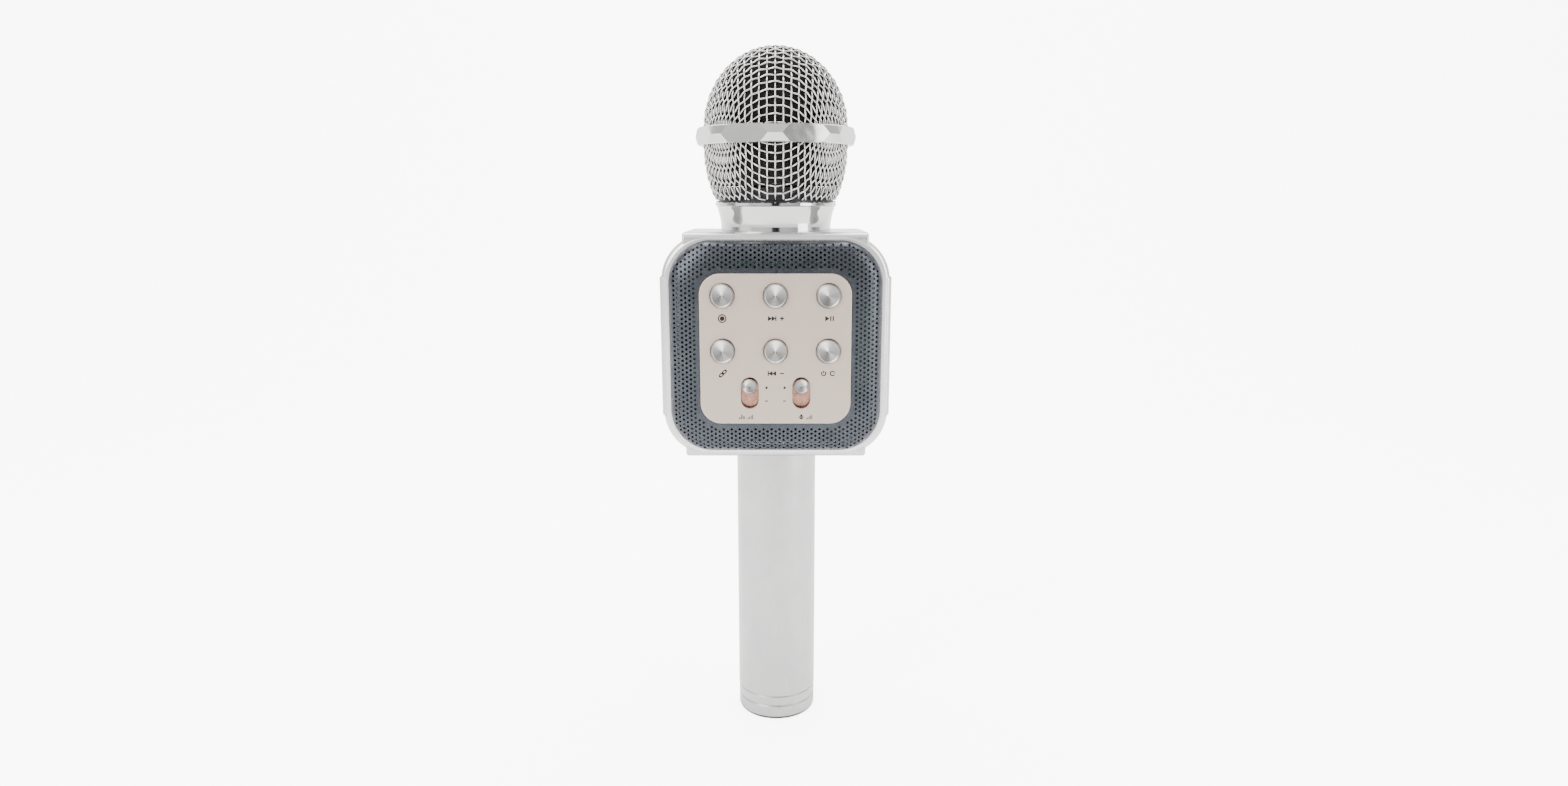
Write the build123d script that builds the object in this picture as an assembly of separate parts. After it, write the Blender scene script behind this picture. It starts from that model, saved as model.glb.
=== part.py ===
"""Hand-held karaoke microphone with a square speaker box, as separate sub-parts.

Frame: +Z runs up the handle's axis from the flat end of the tail, -Y is the side with the buttons,
+X is the side with the sockets. Millimetres.
"""

import os
from math import cos, pi, radians, sin, sqrt

from build123d import *

os.makedirs("parts", exist_ok=True)

# ---- driving dimensions -------------------------------------------------------------------------
overall_height = 256.0

handle_radius = 15.2
handle_bore = 13.8
tube_end_radius = 15.0
tail_cap_radius = 15.1
tail_base_top = 1.2
tail_cap_top = 9.6
tail_groove_z = 5.6

box_centre_z = 150.0
housing_width = 81.2
housing_height = 80.2
housing_corner = 16.5
housing_half_depth = 22.5
housing_wall = 2.2
shoulder_fillet = 2.4
seam_half_width = 0.15
seam_depth = 0.35
trim_proud = 0.6
trim_depth = 1.7
long_trim_half = 32.8
side_trim_half = 25.3

grille_size = 75.4
grille_corner = 15.0
grille_sheet = 0.9
skirt_depth = 21.6
front_dome_top = 27.7
rear_dome_top = 32.6
front_dome_run = 11.4
rear_dome_run = 26.0

panel_size = 53.4
panel_corner = 7.5
panel_front = -28.0
panel_sheet = 1.6

button_columns = {"left": -18.6, "middle": 0.0, "right": 18.6}
button_rows = {"upper": 169.0, "lower": 149.5}
button_radius = 4.25
button_hole = 4.5
button_travel = 0.5

slot_x = 9.15
slot_centre_z = 134.5
slot_width = 6.4
slider_travel = 5.0
slider_knob_radius = 2.65
lever_height = 2.0
lever_side = 5.0
arm_near = 0.25
arm_far = 0.65
tray_floor = 0.95

stem_end = -22.6
plunger_end = -20.4
switch_front = -21.1
baffle_front = -20.4
baffle_back = -19.0
board_front = -17.6
board_back = -16.0
board_size = 61.0

neck_radius = 20.3
neck_rim_radius = 22.3
neck_rim_z = 200.8
thread_radius = 19.6
thread_top = 206.3
bore_radius = 14.0
thread_play = 0.08

rear_baffle_front = 19.0
rear_baffle_back = 20.4
boss_end = 18.9

mesh_radius = 26.4
mesh_shell = 0.9
dome_base_z = 227.0
cup_top_z = 220.0
cup_half_height = 34.4
cup_bottom_z = 201.3
ring_radius = 29.2
ring_edge_radius = 28.5
ring_half_height = 3.15
ring_facets = 8
ring_flat = 27.85

# ---- values that follow from them ---------------------------------------------------------------
box_top = box_centre_z + housing_height / 2 + trim_proud - 0.1
box_bottom = 2 * box_centre_z - box_top
cavity_width = housing_width - 2 * housing_wall
cavity_height = housing_height - 2 * housing_wall
cavity_corner = housing_corner - housing_wall
inner_floor_z = box_centre_z - cavity_height / 2
panel_back = panel_front + panel_sheet
grille_base = skirt_depth + grille_sheet
ring_z = (dome_base_z + cup_top_z) / 2 + 0.5
slot_length = slot_width + slider_travel
slider_rest_z = slot_centre_z + slider_travel / 2
lever_slot = slider_travel + lever_height
dome_half_height = overall_height - dome_base_z


# ---- helpers ------------------------------------------------------------------------------------
def front_plane(y):
    """A sketch plane at depth y whose sketch x is +X and whose sketch y is +Z."""
    return Plane.XZ.offset(-y)


def slab(width, height, corner, y_near, y_far, x=0.0, z=box_centre_z):
    """A rounded rectangle seen from the front, solid between two depths."""
    return extrude(front_plane(y_far) * Pos(x, z) * RectangleRounded(width, height, corner), y_far - y_near)


def pin(x, z, radius, y_near, y_far):
    """A round pin along Y."""
    return extrude(front_plane(y_far) * Pos(x, z) * Circle(radius), y_far - y_near)


def stadium(x, z, width, length, y_near, y_far):
    """An upright slot shape, solid between two depths."""
    return slab(width, length, width / 2 - 0.001, y_near, y_far, x, z)


def block(x, y, z):
    """A box given by its three (low, high) pairs."""
    size = [pair[1] - pair[0] for pair in (x, y, z)]
    centre = [(pair[0] + pair[1]) / 2 for pair in (x, y, z)]
    return Pos(*centre) * Box(*size)


def turned(*points):
    """A solid of revolution about Z from (radius, z) corners."""
    return revolve(make_face(Plane.XZ * Polyline(*points, close=True)), Axis.Z)


def turned_about_y(z, *points):
    """A solid of revolution about the line along Y at height z, from (radius, y) corners."""
    outline = Polyline(*[(r, y, 0) for r, y in points], close=True)
    return Pos(0, 0, z) * revolve(make_face(outline), Axis.Y)


def cylinder(radius, z_low, z_high, x=0.0, y=0.0):
    """An upright cylinder."""
    return Pos(x, y, z_low) * Cylinder(radius, z_high - z_low, align=(Align.CENTER, Align.CENTER, Align.MIN))


def wire_along(points, radii, wire_radius):
    """A round lead along straight runs joined by arcs."""
    path = FilletPolyline(*points, radius=radii)
    section = Plane(origin=path @ 0, z_dir=path % 0) * Circle(wire_radius)
    return sweep(section, path=path)


def corner_points(half):
    """The four points at plus and minus half round the middle of the box."""
    return [(sx * half, box_centre_z + sz * half) for sx in (-1, 1) for sz in (-1, 1)]


def save(name, *solids):
    """Writes one sub-part."""
    shape = solids[0] if len(solids) == 1 else Compound(children=list(solids))
    export_step(shape, f"parts/{name}.step")


# ---- handle -------------------------------------------------------------------------------------
battery_low = 15.6
battery_high = 80.6
battery_radius = 9.1
cell_tip = 81.4
socket_flange_top = inner_floor_z + 2.4
socket_screw_x = 16.6


def handle_tube():
    """The grip; its upper end is necked down where it enters the box."""
    shoulder_z = box_bottom - 0.2
    return turned(
        (handle_bore, tail_cap_top), (handle_radius - 0.35, tail_cap_top),
        (handle_radius, tail_cap_top + 0.35), (handle_radius, shoulder_z),
        (tube_end_radius, shoulder_z), (tube_end_radius, inner_floor_z), (handle_bore, inner_floor_z),
    )


def tail_cap():
    groove = 0.4
    radius = tail_cap_radius
    return turned(
        (11.5, tail_base_top), (radius, tail_base_top), (radius, tail_groove_z - groove),
        (radius - groove, tail_groove_z), (radius, tail_groove_z + groove),
        (radius, tail_cap_top - 0.35), (radius - 0.35, tail_cap_top), (handle_bore - 0.05, tail_cap_top),
        (handle_bore - 0.05, 14.0), (11.5, 14.0),
    )


def tail_base():
    return turned(
        (0, 0), (14.4, 0), (14.8, 0.4), (14.8, tail_base_top),
        (11.4, tail_base_top), (11.4, 3.4), (0, 3.4),
    )


def contact_spring():
    turns_height = battery_low - 5.2
    helix = Pos(0, 0, 4.5) * Helix(pitch=turns_height / 5, height=turns_height, radius=7.0, cone_angle=-8)
    section = Plane(origin=helix @ 0, z_dir=helix % 0) * Circle(0.45)
    return sweep(section, path=helix)


def battery_carrier():
    """An open cradle that holds the cell, with a wall above it."""
    shell = cylinder(13.4, 14.2, 88.0)
    shell -= cylinder(battery_radius + 0.3, 14.0, cell_tip) + cylinder(5.0, 80, 93)
    return shell - block((-20, 20), (-20, -1.0), (10, cell_tip))


def battery_cell():
    return cylinder(battery_radius, battery_low, battery_high) + cylinder(3.2, battery_high, cell_tip)


def cell_contacts():
    """The plate under the spring and the plate on the cell's tip."""
    return [cylinder(9.0, 3.4, 4.0), cylinder(4.9, cell_tip, cell_tip + 0.6)]


def handle_socket():
    """The plug that carries the handle tube, with a square flange inside the box."""
    plug = cylinder(handle_bore - 0.05, 97.0, inner_floor_z) - cylinder(10.5, 96, 113)
    flange = block((-19, 19), (-14.4, 14.4), (inner_floor_z, socket_flange_top)) - cylinder(10.5, 96, 116)
    holes = Part() + [cylinder(1.4, 109, 117, x) for x in (-socket_screw_x, socket_screw_x)]
    return plug + flange - holes


def socket_screws():
    return [
        cylinder(2.3, socket_flange_top, socket_flange_top + 1.5, x)
        + cylinder(1.2, inner_floor_z - 1.0, socket_flange_top, x)
        for x in (-socket_screw_x, socket_screw_x)
    ]


# ---- speaker box shell --------------------------------------------------------------------------
boss_half = 32.7
screw_seat = 16.4
port_y = {"usb": -14.6, "jack": -12.8, "card": -15.05}
port_z = {"usb": 165.0, "jack": 150.0, "card": 134.0}


def filled_band():
    """The outside of the housing with nothing cut from it."""
    band = slab(housing_width, housing_height, housing_corner, -housing_half_depth, housing_half_depth)
    ends = band.faces().sort_by(Axis.Y)
    return fillet(ends[0].edges() + ends[-1].edges(), shoulder_fillet)


def trim_blank(side):
    """The outside of one trim plate, before the housing is taken from it."""
    front = housing_half_depth - 0.2
    half_x = housing_width / 2 + trim_proud
    if side in ("top", "bottom"):
        z = (box_top - 7.0, box_top) if side == "top" else (box_bottom, box_bottom + 7.0)
        plate = block((-long_trim_half, long_trim_half), (-front, front), z)
        outer = plate.faces().sort_by(Axis.Z)[-1 if side == "top" else 0]
    else:
        x = (half_x - 7.0, half_x) if side == "right" else (-half_x, 7.0 - half_x)
        z = (box_centre_z - side_trim_half, box_centre_z + side_trim_half)
        plate = block(x, (-front, front), z)
        outer = plate.faces().sort_by(Axis.X)[-1 if side == "right" else 0]
    along = Axis.X if side in ("top", "bottom") else Axis.Z
    plate = fillet(outer.edges().filter_by(along), shoulder_fillet)
    ends = plate.edges().filter_by(Axis.Y).sort_by(lambda e: (e @ 0.5 - Vector(0, 0, box_centre_z)).length)
    return fillet(ends[-2:], 0.8)


def trim_pocket(side):
    """The space that a trim plate fills in the housing."""
    depth_z = box_top - trim_depth - box_centre_z
    depth_x = housing_width / 2 + trim_proud - trim_depth
    far = 60.0
    y = (-40, 40)
    if side == "top":
        return block((-long_trim_half, long_trim_half), y, (box_centre_z + depth_z, box_centre_z + far))
    if side == "bottom":
        return block((-long_trim_half, long_trim_half), y, (box_centre_z - far, box_centre_z - depth_z))
    z = (box_centre_z - side_trim_half, box_centre_z + side_trim_half)
    return block((depth_x, far) if side == "right" else (-far, -depth_x), y, z)


def port_cuts():
    """Openings for the three sockets in the right-hand wall and its trim."""
    x = (35.0, 45.0)

    def opening(port, half_y, half_z):
        y, z = port_y[port], port_z[port]
        return block(x, (y - half_y, y + half_y), (z - half_z, z + half_z))

    usb = opening("usb", 1.9, 4.4)
    card = opening("card", 1.1, 6.3)
    jack = Pos(40, port_y["jack"], port_z["jack"]) * Rot(0, 90, 0) * Cylinder(3.05, 10)
    return fillet(usb.edges().filter_by(Axis.X), 1.2) + fillet(card.edges().filter_by(Axis.X), 0.6) + jack


trim_sides = ("top", "bottom", "left", "right")
band = filled_band()
band_less_pockets = band - (Part() + [trim_pocket(side) for side in trim_sides])


def trim(side):
    plate = trim_blank(side) - band_less_pockets
    plate = plate - slab(cavity_width, cavity_height, cavity_corner, -40, 40)
    if side == "top":
        plate -= cylinder(neck_radius + 0.05, 180, 200)
    if side == "bottom":
        plate -= cylinder(tube_end_radius + 0.05, 100, 120)
    if side == "right":
        plate -= port_cuts()
    return plate


def housing_shell():
    """Both halves of the housing in one piece, open at the front and the back."""
    shell = band_less_pockets
    lip = skirt_depth - 1.1
    shell -= slab(cavity_width, cavity_height, cavity_corner, -lip, lip)
    shell -= slab(69, 69, 12.5, -40, 40)
    for y in ((-40, -skirt_depth), (skirt_depth, 40)):
        shell -= slab(grille_size + 0.2, grille_size + 0.2, grille_corner + 0.1, *y)
    shell -= cylinder(tube_end_radius, 100, 120) + cylinder(17.0, 180, 200) + port_cuts()
    for x in (-socket_screw_x, socket_screw_x):
        shell -= cylinder(1.2, 105, 115, x)
    groove = slab(120, 120, 5, -seam_half_width, seam_half_width)
    core_width, core_height = housing_width - 2 * seam_depth, housing_height - 2 * seam_depth
    groove -= slab(core_width, core_height, housing_corner - seam_depth, -1, 1)
    return shell - groove


def front_housing(shell):
    half = shell & block((-60, 60), (-40, 0), (90, 210))
    for x, z in corner_points(boss_half):
        boss = pin(x, z, 2.8, -boss_end, 0) & slab(cavity_width + 1, cavity_height + 1, cavity_corner, -40, 1)
        half += boss
        half -= pin(x, z, 1.3, -10.5, 1)
    return half


def rear_housing(shell):
    half = shell & block((-60, 60), (0, 40), (90, 210))
    for x, z in corner_points(boss_half):
        boss = pin(x, z, 2.8, 0, boss_end) & slab(cavity_width + 1, cavity_height + 1, cavity_corner, -1, 40)
        half += boss
        half -= pin(x, z, 1.5, -1, 20) + pin(x, z, 2.45, screw_seat, 20)
    return half


def housing_screws():
    return [pin(x, z, 2.3, screw_seat, screw_seat + 1.8) + pin(x, z, 1.3, -10.0, screw_seat)
            for x, z in corner_points(boss_half)]


# ---- perforated grilles and the frames behind them ----------------------------------------------
def dome_blank(top, run, inset):
    """A pillow whose edge is a quarter of an ellipse; inset makes it smaller all round."""
    outline = [(grille_size / 2, skirt_depth - 2.0)]
    for angle in dome_angles:
        shrink = run * (1 - cos(radians(angle)))
        outline.append((grille_size / 2 - shrink, grille_base + (top - grille_base) * sin(radians(angle))))
    sections = []
    for half, y in outline:
        size = 2 * (half - inset)
        corner = max(1.0, min(grille_corner, grille_corner * half / (grille_size / 2)) - inset)
        sections.append(front_plane(y - inset) * Pos(0, box_centre_z) * RectangleRounded(size, size, corner))
    return loft(sections, ruled=True)


board_post = 27.0
speaker_z = box_centre_z
dome_angles = (0, 14, 28, 42, 56, 70, 80, 90)


def grille_blank(top, run):
    blank = dome_blank(top, run, 0) - dome_blank(top, run, grille_sheet)
    return blank - slab(90, 90, 5, 0, skirt_depth)


def rear_grille():
    return grille_blank(rear_dome_top, rear_dome_run)


def front_grille():
    sheet = mirror(grille_blank(front_dome_top, front_dome_run), about=Plane.XZ)
    return sheet - slab(panel_size + 0.3, panel_size + 0.3, panel_corner + 0.15, -40, -10)


def front_baffle():
    """The black frame that carries the panel and the board, with four sound slots."""
    plate = slab(cavity_width - 0.4, cavity_height - 0.4, cavity_corner - 0.2, baffle_front, baffle_back)
    wall = slab(52.8, 52.8, 7.1, panel_back, baffle_back)
    posts = Part() + [pin(x, z, 2.4, baffle_back, board_front) for x, z in corner_points(board_post)]
    frame = plate + wall - slab(50.0, 50.0, 5.8, -40, baffle_back) + posts
    for x, z, width, height in ((0, 32, 36, 6), (0, -32, 36, 6), (32, 0, 6, 36), (-32, 0, 6, 36)):
        frame -= slab(width, height, 2.9, baffle_front - 1, baffle_back + 1, x, box_centre_z + z)
    for x, z in corner_points(board_post):
        frame -= pin(x, z, 1.0, baffle_front + 0.4, board_front + 1)
    return frame


def rear_baffle():
    """The plate behind the rear grille that the loudspeaker hangs from."""
    near, far = rear_baffle_front - 1, rear_baffle_back + 1
    plate = slab(cavity_width - 0.4, cavity_height - 0.4, cavity_corner - 0.2, near + 1, far - 1)
    plate -= pin(0, speaker_z, 24.0, near, far)
    for x, z in corner_points(boss_half):
        plate -= pin(x, z, 3.0, near, far)
    for x, z in speaker_screw_points():
        plate -= pin(x, z, 1.0, near, far)
    return plate


# ---- control panel, buttons and volume sliders --------------------------------------------------
def control_panel():
    panel = slab(panel_size, panel_size, panel_corner, panel_front, panel_back)
    panel = fillet(panel.faces().sort_by(Axis.Y)[0].edges(), 0.4)
    for x in button_columns.values():
        for z in button_rows.values():
            panel -= pin(x, z, button_hole, -40, -20)
    for x in (-slot_x, slot_x):
        panel -= stadium(x, slot_centre_z, slot_width, slot_length, -40, -20)
    return panel


def button_cap(x, z):
    """A dished metal cap with a bevelled rim, a flange behind the panel, a stem and its plunger."""
    top = panel_front - 1.5
    flange = panel_back + 0.2
    profile = [
        (0, top + 0.45), (button_radius - 0.75, top + 0.1), (button_radius - 0.6, top),
        (button_radius - 0.3, top), (button_radius, top + 0.5), (button_radius, flange), (5.0, flange),
        (5.0, flange + 0.9), (1.9, flange + 0.9), (1.9, stem_end), (1.7, stem_end), (1.7, plunger_end),
        (0, plunger_end),
    ]
    return Pos(x, 0, 0) * turned_about_y(z, *profile)


def switch_bodies():
    bodies = []
    for x in button_columns.values():
        for z in button_rows.values():
            body = block((x - 3.1, x + 3.1), (switch_front, board_front), (z - 3.1, z + 3.1))
            bodies.append(body - pin(x, z, 1.85, switch_front - 1, plunger_end + button_travel + 0.3))
    return bodies


def outward(x):
    """The side of a slot that faces away from the middle of the panel."""
    return 1 if x > 0 else -1


def ordered(a, b):
    return (min(a, b), max(a, b))


def slider_knob(x):
    """A turned knob on an arm that runs sideways behind the panel to the lever of the control."""
    z = slider_rest_z
    top = panel_front - 1.2
    profile = [
        (0, top + 0.3), (slider_knob_radius - 0.6, top + 0.1), (slider_knob_radius - 0.5, top),
        (slider_knob_radius - 0.25, top), (slider_knob_radius, top + 0.4),
        (slider_knob_radius, panel_back + arm_far), (0, panel_back + arm_far),
    ]
    lever_x = x + outward(x) * lever_side
    height = (z - lever_height / 2, z + lever_height / 2)
    arm_reach = ordered(x, lever_x + outward(x) * 0.5)
    arm = block(arm_reach, (panel_back + arm_near, panel_back + arm_far), height)
    lever = block((lever_x - 0.5, lever_x + 0.5), (panel_back + arm_near, plunger_end + 0.4), height)
    return Pos(x, 0, 0) * turned_about_y(z, *profile) + arm + lever


def slider_trays():
    """The bright cups that show in the slots behind the knobs, each with a gap in one wall for the arm."""
    trays = []
    floor = panel_back + tray_floor
    arm_gap = lever_slot / 2 + 0.5
    for x in (-slot_x, slot_x):
        cup = stadium(x, slot_centre_z, 8.4, 13.4, panel_back, floor + 0.65)
        cup -= stadium(x, slot_centre_z, slot_width + 0.2, slot_length + 0.2, -40, floor)
        gap = ordered(x, x + outward(x) * lever_side)
        trays.append(cup - block(gap, (-40, floor), (slot_centre_z - arm_gap, slot_centre_z + arm_gap)))
    return trays


def slider_pots():
    pots = []
    for slot_middle in (-slot_x, slot_x):
        x = slot_middle + outward(slot_middle) * lever_side
        body = block((x - 2.7, x + 2.7), (switch_front, board_front), (slot_centre_z - 7, slot_centre_z + 7))
        slot = stadium(x, slot_centre_z, 1.7, lever_slot + 1.6, switch_front - 1, plunger_end + 0.8)
        pots.append(body - slot)
    return pots


# ---- circuit board and what it carries ----------------------------------------------------------
def control_board():
    board = slab(board_size, board_size, 8.0, board_front, board_back)
    board += block((28, 38.0), (board_front, board_back), (125, 173))
    for x, z in corner_points(board_post):
        board -= pin(x, z, 1.2, board_front - 1, board_back + 1)
    return board


def board_screws():
    return [pin(x, z, 2.0, board_back, board_back + 1.3) + pin(x, z, 1.0, baffle_back - 0.8, board_back)
            for x, z in corner_points(board_post)]


def board_chips():
    """Sound processor, amplifier and memory on the back of the board."""
    sizes = [(-12, 168, 7, 7, 1.2), (8, 170, 5, 6, 1.4), (-4, 158, 4, 5, 1.0), (12, 126, 6, 5, 1.2)]
    return [block((x - w / 2, x + w / 2), (board_back, board_back + t), (z - h / 2, z + h / 2))
            for x, z, w, h, t in sizes]


def radio_module():
    """The small board with the wireless receiver and its shield."""
    card = block((-26, -13), (board_back, board_back + 0.8), (126, 142))
    return card + block((-25, -14), (board_back + 0.8, board_back + 2.2), (130, 141))


def capacitors():
    return [pin(x, z, 2.6, board_back, board_back + 7.0) for x, z in ((-25, 158), (-25, 151), (20, 174.5))]


def usb_socket():
    """The charging socket: a bent steel shell round a tongue."""
    y, z = port_y["usb"], port_z["usb"]
    shell = block((33.0, 39.6), (board_back, y + 1.35), (z - 3.8, z + 3.8))
    shell = fillet(shell.edges().filter_by(Axis.X).sort_by(Axis.Y)[-2:], 0.9)
    mouth = block((33.8, 41.0), (board_back + 0.35, y + 1.0), (z - 3.4, z + 3.4))
    tongue = block((33.0, 38.6), (y - 0.35, y + 0.25), (z - 2.2, z + 2.2))
    return shell - mouth + tongue


def audio_jack():
    """The headphone socket, with a blind bore that opens in the right-hand trim."""
    y, z = port_y["jack"], port_z["jack"]
    axis = Pos(0, y, z) * Rot(0, 90, 0)
    body = block((25.5, 38.2), (board_back, y + 3.0), (z - 3.0, z + 3.0))
    nose = axis * Pos(0, 0, 38.0) * Cylinder(3.0, 3.3, align=(Align.CENTER, Align.CENTER, Align.MIN))
    bore = axis * Pos(0, 0, 27.0) * Cylinder(1.8, 20, align=(Align.CENTER, Align.CENTER, Align.MIN))
    return body + nose - bore


def card_slot():
    """The memory card holder."""
    z = port_z["card"]
    shell = block((24.5, 38.2), (board_back, board_back + 1.9), (z - 7, z + 7))
    return shell - block((26.0, 42.0), (board_back + 0.4, board_back + 1.5), (z - 5.7, z + 5.7))


# ---- loudspeaker --------------------------------------------------------------------------------
flange_front = 17.4
magnet_low = -0.6
magnet_top = 5.6
pole_top = 7.0
pole_radius = 6.2
coil_neck = 11.3


def speaker_screw_points():
    return [(25.8 * cos(radians(a)), speaker_z + 25.8 * sin(radians(a))) for a in (0, 90, 180, 270)]


def speaker_frame():
    """Pressed basket with four windows and a step for the spider."""
    basket = turned_about_y(
        speaker_z, (22.6, rear_baffle_front), (28.2, rear_baffle_front), (28.2, flange_front),
        (23.4, flange_front), (15.8, pole_top), (8.0, pole_top), (8.0, 8.0), (12.6, 8.0), (12.6, 8.9),
        (15.4, 8.9), (22.0, 18.0),
    )
    for angle in range(45, 360, 90):
        window = Rot(0, angle, 0) * block((-5, 5), (9.6, 16.2), (12, 30))
        basket -= Pos(0, 0, speaker_z) * window
    for x, z in speaker_screw_points():
        basket -= pin(x, z, 1.1, flange_front - 1, rear_baffle_back)
    return basket


def speaker_screws():
    return [
        pin(x, z, 1.8, flange_front - 1.2, flange_front)
        + pin(x, z, 0.95, flange_front, rear_baffle_back - 0.1)
        for x, z in speaker_screw_points()
    ]


def speaker_magnet():
    ring = [(8.2, magnet_low), (16.0, magnet_low), (16.0, magnet_top), (8.2, magnet_top)]
    return turned_about_y(speaker_z, *ring)


def speaker_yoke():
    """The steel that carries the field: a back plate with its pole, and the front plate."""
    back = turned_about_y(
        speaker_z, (0, magnet_low - 1.6), (15.0, magnet_low - 1.6), (15.6, magnet_low - 1.0),
        (15.6, magnet_low), (pole_radius, magnet_low), (pole_radius, pole_top), (0, pole_top),
    )
    washer = [(7.4, magnet_top), (15.6, magnet_top), (15.6, pole_top), (7.4, pole_top)]
    return [back, turned_about_y(speaker_z, *washer)]


def speaker_cone():
    """The paper cone and the dust cap glued over its middle."""
    rim = rear_baffle_front
    cone = turned_about_y(speaker_z, (7.0, coil_neck - 0.9), (7.6, coil_neck - 0.9), (19.1, rim - 0.8),
                          (19.1, rim), (18.3, rim), (7.0, coil_neck))
    cap = turned_about_y(
        speaker_z, (0, coil_neck + 2.1), (3.0, coil_neck + 1.9), (5.6, coil_neck + 1.3),
        (7.5, coil_neck + 0.5), (7.1, coil_neck + 0.15), (5.2, coil_neck + 0.8), (2.8, coil_neck + 1.4),
        (0, coil_neck + 1.6),
    )
    return [cone, cap]


def voice_coil():
    return turned_about_y(speaker_z, (6.55, 3.5), (6.98, 3.5), (6.98, coil_neck), (6.55, coil_neck))


def speaker_surround():
    """The rubber half roll between the cone and the frame."""
    middle, roll, sheet = 20.6, 1.5, 0.45
    seat = rear_baffle_front
    steps = [radians(a) for a in range(0, 181, 20)]
    low = seat + 0.02
    outer = [(middle + roll * cos(a), low + roll * sin(a)) for a in steps[1:-1]]
    inner = [(middle + (roll - sheet) * cos(a), low + (roll - sheet) * sin(a)) for a in reversed(steps)]
    return turned_about_y(speaker_z, (23.8, low), (23.8, seat + sheet), *outer,
                          (18.3, seat + sheet), (18.3, low), *inner)


def speaker_spider():
    """The corrugated disc that centres the coil."""
    middle, swing, sheet = 9.2, 0.3, 0.3
    wave = [(7.6 + 0.5 * i, middle + swing * (-1) ** i) for i in range(10)]
    under = [(r, y - sheet) for r, y in reversed(wave)]
    return turned_about_y(speaker_z, (7.05, middle), *wave, (12.4, middle), (15.2, middle),
                          (15.2, middle - sheet), (12.4, middle - sheet), *under, (7.05, middle - sheet))


# ---- neck, capsule and the mesh head ------------------------------------------------------------
def neck_collar():
    """Bright collar with a flared rim and a threaded spigot above it."""
    seat = box_top - trim_depth
    with BuildPart() as collar:
        with BuildSketch(Plane.XZ):
            with BuildLine():
                Polyline((bore_radius, thread_top), (bore_radius, seat), (neck_radius, seat),
                         (neck_radius, box_top + 1.6))
                Spline((neck_radius, box_top + 1.6), (neck_radius + 0.55, 196.2),
                       (neck_rim_radius - 0.45, 199.4), tangents=((0, 1), (0.45, 1)))
                Polyline((neck_rim_radius - 0.45, 199.4), (neck_rim_radius, 199.7),
                         (neck_rim_radius, neck_rim_z - 0.25), (neck_rim_radius - 0.25, neck_rim_z),
                         (thread_radius, neck_rim_z), (thread_radius, thread_top - 0.4),
                         (thread_radius - 0.4, thread_top), (bore_radius, thread_top))
            make_face()
        revolve(axis=Axis.Z)
    return collar.part


def capsule_holder():
    """The plastic post that carries the capsule up into the head."""
    foot = bore_radius - 0.05
    post = turned((0, 190.0), (foot, 190.0), (foot, 192.5), (9.0, 194.5), (7.2, 206.0), (7.2, 221.0),
                  (5.6, 221.0), (5.6, 217.0), (2.0, 217.0), (2.0, 195.0), (0, 195.0))
    return post - cylinder(2.0, 185, 200)


def capsule_boot():
    """The rubber cup between the post and the capsule."""
    return turned((0, 217.0), (5.55, 217.0), (5.55, 221.0), (7.4, 221.0), (7.4, 224.6), (6.6, 225.4),
                  (5.1, 225.4), (5.1, 219.0), (0, 219.0)) - cylinder(1.4, 216, 220)


def mic_capsule():
    can = cylinder(5.0, 219.0, 226.2)
    can = fillet(can.edges().sort_by(Axis.Z)[-1], 0.5)
    for step in range(6):
        angle = step * pi / 3
        can -= cylinder(0.5, 225.4, 227, 2.6 * cos(angle), 2.6 * sin(angle))
    return can


def head_base_ring():
    """The threaded ring that the lower mesh is crimped to, with the flange that the mesh stands on."""
    bore = thread_radius + thread_play
    low = neck_rim_z + 0.04
    return turned((bore, low), (22.0, low), (22.0, cup_bottom_z - 0.02), (21.15, cup_bottom_z - 0.02),
                  (21.15, 203.2), (21.8, 205.0), (21.8, 206.0), (bore, 206.0))


def cup_radius(z, inset=0.0):
    """Radius of the lower mesh at height z."""
    drop = max(0.0, cup_top_z - z)
    return mesh_radius * sqrt(1 - (drop / cup_half_height) ** 2) - inset


def mesh_profile(side, inset):
    """(radius, z) points of one half of the mesh head, from the ring outwards."""
    if side == "upper":
        radius, rise = mesh_radius - inset, dome_half_height - inset
        angles = [radians(a) for a in range(0, 91, 6)]
        return [(radius * cos(a), dome_base_z + rise * sin(a)) for a in angles]
    steps = 12
    heights = [cup_top_z + (cup_bottom_z - cup_top_z) * i / steps for i in range(steps + 1)]
    return [(cup_radius(z, inset), z) for z in heights]


def mesh_shell_solid(side, split_z, outer_inset, inner_inset):
    """A shell that follows one half of the mesh head."""
    outer = [(mesh_radius - outer_inset, split_z)] + mesh_profile(side, outer_inset)
    inner = [(mesh_radius - inner_inset, split_z)] + mesh_profile(side, inner_inset)
    outline = [Spline(*[(r, 0, z) for r, z in points[1:]]) for points in (outer, inner)]
    joins = [
        Line((outer[0][0], 0, outer[0][1]), (outer[1][0], 0, outer[1][1])),
        Line((inner[0][0], 0, inner[0][1]), (inner[1][0], 0, inner[1][1])),
        Line((outer[0][0], 0, split_z), (inner[0][0], 0, split_z)),
        Line((outer[-1][0], 0, outer[-1][1]), (inner[-1][0], 0, inner[-1][1])),
    ]
    return revolve(make_face([*outline, *joins]), Axis.Z)


def grille_ring():
    """The anti-roll ring: two cones back to back with flats cut round them."""
    low, high = ring_z - ring_half_height, ring_z + ring_half_height
    ring = turned((mesh_radius + 0.06, low), (ring_edge_radius - 0.5, low), (ring_edge_radius, low + 0.35),
                  (ring_radius, ring_z), (ring_edge_radius, high - 0.35), (ring_edge_radius - 0.5, high),
                  (mesh_radius + 0.06, high))
    pitch = 360 / ring_facets
    for i in range(ring_facets):
        cutter = block((ring_flat, ring_flat + 5), (-20, 20), (low - 1, high + 1))
        ring -= Rot(0, 0, pitch * (i + 0.5)) * cutter
    return ring


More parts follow.
